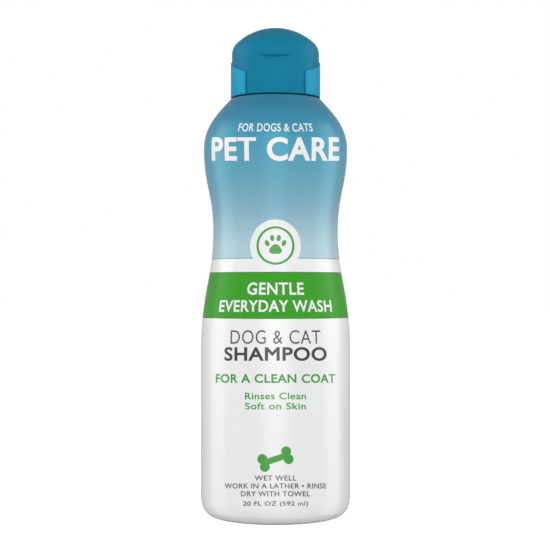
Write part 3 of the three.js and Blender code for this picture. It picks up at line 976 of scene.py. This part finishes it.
def above_parting(shift):
    """All that lies above the line where the lid meets the base, moved up by shift."""
    def line(y):
        return PARTING_AT_AXIS + PARTING_SLOPE * y + shift
    start, end, rear = PARTING_BEND_START, PARTING_BEND_END, PARTING_REAR + shift
    level = (PARTING_REAR - PARTING_AT_AXIS) / PARTING_SLOPE
    near_start = start + (level - start) * 2 / 3
    near_end = end + (level - end) * 2 / 3
    knots = [(start, line(start)), (near_start, line(near_start)), (near_end, rear), (end, rear)]
    bend = interpolate_bezier(*(Vector(p).to_3d() for p in knots), 12)
    outline = [
        (-FAR, line(-FAR)), *((p.x, p.y) for p in bend), (FAR, rear),
        (FAR, LID_TOP + FAR), (-FAR, LID_TOP + FAR),
    ]
    return slab(outline, -FAR, FAR)


def dome(shrink, low):
    """A closed dome: ball-shaped crown, rounded edge and straight wall down to a height."""
    crown, edge, wall = CROWN_RADIUS - shrink, CROWN_EDGE - shrink, LID_RADIUS - shrink
    centre = LID_TOP - CROWN_RADIUS
    edge_middle = LID_RADIUS - CROWN_EDGE
    rise = math.sqrt((CROWN_RADIUS - CROWN_EDGE) ** 2 - edge_middle ** 2)
    top = math.degrees(math.atan2(rise, edge_middle))
    profile = [(0, low), (wall, low)]
    profile += arc((edge_middle, centre + rise), edge, 0, top, 14)
    profile += arc((0, centre), crown, top, 90, 18)[1:]
    return spun(profile)


def hinge_recess():
    """The flat on the back of the cap."""
    return block((-FAR, HINGE_FLAT, HINGE_FLAT_FOOT), (FAR, FAR, HINGE_FLAT_TOP))


def strap_slot():
    """The slot for the spring strap, through the walls of base and lid."""
    gap = STRAP_CLEARANCE
    return block(
        (STRAP_LOW.x - gap, HINGE_FLAT - 3 * MM, STRAP_LOW.z - gap),
        (STRAP_HIGH.x + gap, FAR, STRAP_HIGH.z + gap),
    )


def thumb_scoop():
    """The hollow in the lid's front, under a brow that slopes down towards the axis."""
    bm = bmesh.new()
    lean = math.atan(THUMB_DEPTH / (THUMB_TOP - THUMB_FOOT))
    middle = THUMB_DEPTH - LID_RADIUS - THUMB_FLOOR_RADIUS / math.cos(lean)
    place = Matrix.Translation((0, middle, THUMB_TOP)) @ Matrix.Rotation(-lean, 4, "X")
    bmesh.ops.create_cone(
        bm, cap_ends=True, segments=512, radius1=THUMB_FLOOR_RADIUS, radius2=THUMB_FLOOR_RADIUS,
        depth=FAR, matrix=place,
    )
    drop = math.tan(THUMB_ROOF_TILT)
    brow = [
        (0, 0), (FAR, 0),
        (FAR, THUMB_TOP + drop * (FAR - LID_RADIUS)), (0, THUMB_TOP - drop * LID_RADIUS),
    ]
    return kept_within(bm, spun(brow))


def ring_profile(inner, outer, low, high):
    """The (radius, height) outline of a plain ring, or of a drum where inner is 0."""
    return [(inner, low), (outer, low), (outer, high), (inner, high)]


def lid_ribs(shell):
    """Four ribs inside the crown, from the plug out to the wall."""
    for k in range(4):
        rib = block((PLUG_RADIUS - 0.4 * MM, -RIB_HALF, RIB_FOOT), (RIB_REACH, RIB_HALF, LID_TOP))
        turn = Matrix.Rotation(math.radians(45 + 90 * k), 3, "Z")
        bmesh.ops.rotate(rib, verts=rib.verts, matrix=turn)
        shell = joined(shell, kept_within(rib, dome(LID_WALL / 2, CAP_FOOT)))
    return shell


def lid_shape():
    """The domed lid, with its apron, thumb scoop, sealing plug and ribs."""
    inside = LID_RADIUS - LID_WALL
    apron = block((-APRON_HALF, -FAR, CAP_FOOT), (APRON_HALF, APRON_BACK, LID_TOP))
    shell = kept_within(dome(0, CAP_FOOT), joined(above_parting(PARTING_GAP / 2), apron))
    shell = cut(shell, dome(LID_WALL, CAP_FOOT - 5 * MM))
    boss = ring_profile(inside - BOSS_DEPTH, inside + 0.5 * MM, DECK_TOP + 0.5 * MM, BOSS_TOP)
    behind_thumb = block((-BOSS_HALF, -FAR, 0), (BOSS_HALF, APRON_BACK, SKY))
    shell = joined(shell, kept_within(spun(boss, closed=True), behind_thumb))
    plug_root = LID_TOP - LID_WALL / 2
    plug = [
        (PLUG_BORE, PLUG_FOOT),
        (PLUG_RADIUS - PLUG_LEAD_IN, PLUG_FOOT), (PLUG_RADIUS, PLUG_FOOT + 2 * PLUG_LEAD_IN),
        (PLUG_RADIUS, plug_root - 1.2 * MM), (PLUG_RADIUS + PLUG_ROOT_FLARE, plug_root),
        (PLUG_BORE, plug_root),
    ]
    shell = joined(shell, spun(plug, closed=True, steps=64))
    shell = lid_ribs(shell)
    shell = cut(shell, hinge_recess())
    shell = cut(shell, strap_slot())
    return broken_edges(cut(shell, thumb_scoop()), EDGE_BREAK)


def base_shape():
    """The cap's base: shell with a notch for the apron, deck, spout and threaded skirt."""
    notch_radius = LID_RADIUS - LID_WALL - APRON_GAP
    notch_half = APRON_HALF + APRON_GAP
    bore_foot = CAP_FOOT - 5 * MM
    drum = spun(ring_profile(0, CAP_RADIUS, CAP_FOOT, LID_TOP))
    shell = cut(drum, above_parting(-PARTING_GAP / 2))
    cup_radius = CAP_RADIUS - CAP_WALL
    cup = cut(
        spun(ring_profile(0, cup_radius, DECK_TOP, SKY)),
        block((-FAR, HINGE_FLAT - HINGE_WALL, 0), (FAR, FAR, SKY + MM)),
    )
    shell = cut(shell, cup)
    shell = joined(shell, spun(ring_profile(0, notch_radius, CAP_FOOT, DECK_TOP)))
    notch = kept_within(
        spun(ring_profile(notch_radius, FAR, 0, SKY), closed=True),
        block((-notch_half, -FAR * 1.1, -FAR), (notch_half, APRON_BACK, SKY + FAR)),
    )
    for recess in (notch, hinge_recess(), strap_slot()):
        shell = cut(shell, recess)
    skirt = SKIRT_BORE + SKIRT_WALL
    hollow = spun(ring_profile(skirt, cup_radius, bore_foot, DECK_UNDER), closed=True)
    cheek = notch_half + CAP_WALL
    front_wall = kept_within(
        spun(ring_profile(notch_radius - FRONT_WALL, FAR, 0, SKY), closed=True),
        block((-cheek, -FAR * 1.1, -FAR), (cheek, APRON_BACK, SKY + FAR)),
    )
    shell = cut(shell, cut(hollow, front_wall))
    shell = cut(shell, spun(ring_profile(0, SKIRT_BORE, bore_foot, DECK_UNDER)))
    shell = broken_edges(shell, EDGE_BREAK)
    root, fillet, lip = SPOUT_RADIUS, SPOUT_FILLET, SPOUT_LIP
    spout_foot = DECK_UNDER + 0.5 * MM
    spout = [
        (SPOUT_BORE - 1 * MM, spout_foot), (root + fillet, spout_foot),
        (root + fillet, DECK_TOP),
        *arc((root + fillet, DECK_TOP + fillet), fillet, 270, 180, 6)[1:],
        (root, SPOUT_TOP - lip),
        *arc((root - lip, SPOUT_TOP - lip), lip, 0, 90, 5)[1:],
        (SPOUT_BORE - 1 * MM, SPOUT_TOP),
    ]
    shell = joined(shell, spun(spout, closed=True, steps=96))
    drip_ring = ring_profile(
        DRIP_RING_INNER, DRIP_RING_OUTER, DECK_TOP - 0.4 * MM, DECK_TOP + DRIP_RING_RISE
    )
    shell = joined(shell, broken_edges(spun(drip_ring, closed=True, steps=96), 0.15 * MM))
    mouth = [
        (0, 0), (SPOUT_BORE, 0), (SPOUT_BORE, SPOUT_TOP - lip),
        (SPOUT_BORE + lip, SPOUT_TOP), (0, SPOUT_TOP + MM),
    ]
    shell = cut(shell, spun(mouth, steps=96))
    root_radius, crest_radius = SKIRT_BORE + THREAD_ROOTED, SKIRT_BORE - THREAD_DEPTH
    return joined(shell, thread_ridge(root_radius, crest_radius, -math.pi, CAP_THREAD_TURNS))


# -------- hinge and liner


def hinge_strap():
    """The bowed spring strap, rooted in the base below and in the lid above."""
    back, front = HINGE_FLAT, HINGE_FLAT - STRAP_THICKNESS
    low, high = STRAP_LOW.z - STRAP_ROOTED, STRAP_HIGH.z + STRAP_ROOTED
    bow = STRAP_HIGH.y - HINGE_FLAT
    rows = 24
    outer, inner = [], []
    for i in range(rows + 1):
        share = i / rows
        height = low + (high - low) * share
        swell = math.sin(math.pi * share) ** 2
        outer.append((back + bow * swell, height))
        inner.append((front + bow * swell + STRAP_THINNING * swell, height))
    strap = slab(outer + inner[::-1], STRAP_LOW.x, STRAP_HIGH.x)
    side = STRAP_HIGH.x - 0.1 * MM
    return broken_edges(strap, 0.12 * MM, where=lambda point: abs(point.x) > side)


def hinge_web(side):
    """A living-hinge web: thick where it is rooted, thin on the hinge's axis."""
    middle = (WEB_LOW.z + WEB_HIGH.z) / 2
    reach = (WEB_HIGH.z - WEB_LOW.z) / 2
    rows = 16
    outer, inner = [], []
    for i in range(rows + 1):
        share = 2 * i / rows - 1
        waist = 1 - share ** 2
        outer.append((WEB_HIGH.y - WEB_WAIST * waist, middle + reach * share))
        inner.append((HINGE_FLAT - 0.1 * MM + WEB_WAIST * waist, middle + reach * share))
    ends = sorted((side * WEB_LOW.x, side * WEB_HIGH.x))
    return slab(outer + inner[::-1], *ends)


def across_hinge(name, bm, *nodes):
    """A piece that spans the hinge, between the base and the lid."""
    piece = made(name, bm)
    # The hinge takes the lid's copy of the teal, which is painted darker as shade.
    piece.data.materials.append(MATERIALS["lid_plastic"])
    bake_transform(piece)
    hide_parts(*nodes)


def liner_shape():
    """The sealing ring, with two pressed grooves under it."""
    inner, outer = NECK_BORE - 0.2 * MM, LINER_HIGH.x
    low, high = LINER_LOW.z, LINER_HIGH.z
    dent, edge = 0.12 * MM, 0.1 * MM
    under = [inner + (outer - inner) * share for share in (0.3, 0.38, 0.46, 0.58, 0.66, 0.74)]
    grooves = [(r, low + (dent if i % 3 == 1 else 0)) for i, r in enumerate(under)]
    profile = [(inner + edge, low), *grooves, (outer - edge, low), (outer, low + edge)]
    profile += [(outer, high - edge), (outer - edge, high), (inner + edge, high)]
    profile += [(inner, high - edge), (inner, low + edge)]
    return spun(profile, closed=True, steps=96)


# -------- pieces

finished(made("squeeze_bottle", bottle_shape()), "bottle", "bottle_plastic", "bottle_plastic", "bottle")
finished(made("base_pinch_off", pinch_off()), "bottle", "bottle_plastic", "bottle_plastic")

sleeve = made("film_sleeve", film_shape())
banded(sleeve)
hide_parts("shrink_sleeve")
film_seam()
print_words(FRONT_WORDS, 0.0)
print_words(BACK_WORDS, math.pi)
print_emblems()

finished(made("flip_lid", lid_shape()), "lid", "lid_plastic", "lid_plastic", "lid")
finished(made("cap_base", base_shape()), "closure", "cap_plastic", "cap_plastic", "closure_base")
across_hinge("spring_strap", hinge_strap(), "hinge_strap")
across_hinge("left_web", hinge_web(-1), "hinge_web_left")
across_hinge("right_web", hinge_web(1), "hinge_web_right")
finished(made("sealing_liner", liner_shape()), "liner", "liner_foam", "liner_foam", "liner")

# -------- stage


def studio_world():
    """White behind the bottle, and a grey room, paler in front, which lights it and mirrors in it."""
    world = bpy.data.worlds.new("studio")
    world.use_nodes = True
    tree = world.node_tree
    backdrop = tree.nodes["Background"]
    backdrop.inputs["Color"].default_value = (1, 1, 1, 1)
    towards = add(tree, "SeparateXYZ", {0: add(tree, "TexCoord").outputs["Generated"]})
    level = remapped(tree, towards.outputs["Y"], -0.6, 0.6, ROOM_FRONT, ROOM_BACK)
    overhead = remapped(tree, towards.outputs["Z"], 0.35, 1.0, 1.0, ROOM_TOP)
    dimmed = add(tree, "Math", {0: level, 1: overhead}, operation="MULTIPLY").outputs[0]
    room = add(tree, "Background", {"Color": (0.98, 0.99, 1, 1), "Strength": dimmed})
    seen = add(tree, "LightPath").outputs["Is Camera Ray"]
    mix = add(tree, "MixShader", {0: seen, 1: room.outputs[0], 2: backdrop.outputs[0]})
    tree.links.new(mix.outputs[0], tree.nodes["World Output"].inputs["Surface"])
    bpy.context.scene.world = world


def softbox(name, place, width, height, watts):
    """A rectangular soft light that faces the bottle's middle. Sizes are in metres."""
    data = bpy.data.lights.new(name, "AREA")
    data.shape = "RECTANGLE"
    data.size = width
    data.size_y = height
    data.energy = watts
    lamp = bpy.data.objects.new(name, data)
    lamp.location = place
    lamp.rotation_euler = (Vector(MIDDLE) - Vector(place)).to_track_quat("-Z", "Y").to_euler()
    bpy.context.scene.collection.objects.link(lamp)


def pale_floor():
    """A wide white floor, as pale as the backdrop, which throws only a faint gloss onto the bottle."""
    bm = bmesh.new()
    bmesh.ops.create_grid(bm, x_segments=1, y_segments=1, size=12.0)
    floor = made("floor", bm)
    material = bpy.data.materials.new("floor_white")
    material.use_nodes = True
    tree = material.node_tree
    shader = tree.nodes["Principled BSDF"]
    shader.inputs["Base Color"].default_value = (0.4, 0.4, 0.4, 1)
    shader.inputs["Roughness"].default_value = 0.9
    shader.inputs["Specular IOR Level"].default_value = 0.1
    shader.inputs["Emission Color"].default_value = (1, 1, 1, 1)
    shader.inputs["Emission Strength"].default_value = FLOOR_GLOW
    grey = (FLOOR_BOUNCE, FLOOR_BOUNCE, FLOOR_BOUNCE, 1)
    thrown_back = add(tree, "BsdfGlossy", {"Color": grey, "Roughness": 0.12})
    seen = add(tree, "LightPath").outputs["Is Camera Ray"]
    mix = add(tree, "MixShader", {0: seen, 1: thrown_back.outputs[0], 2: shader.outputs[0]})
    tree.links.new(mix.outputs[0], tree.nodes["Material Output"].inputs["Surface"])
    floor.data.materials.append(material)


studio_world()
pale_floor()
softbox("front_softbox", (0, -1.2, 0.25), width=0.8, height=1.3, watts=9.2)
for side in (-1, 1):
    softbox("side_softbox", (side * 0.9, 0.12, 0.2), width=0.55, height=1.2, watts=4.2)

camera_data = bpy.data.cameras.new("camera")
camera_data.lens = CAMERA_LENS
camera_data.sensor_width = 36
camera_data.shift_x = -0.5 / IMAGE_SIDE
camera_data.shift_y = 15 / IMAGE_SIDE
camera = bpy.data.objects.new("camera", camera_data)
camera.location = (0, -CAMERA_DISTANCE, CAMERA_HEIGHT)
camera.rotation_euler = (math.pi / 2, 0, 0)
bpy.context.scene.collection.objects.link(camera)
bpy.context.scene.camera = camera
bpy.context.scene.view_settings.view_transform = "Standard"
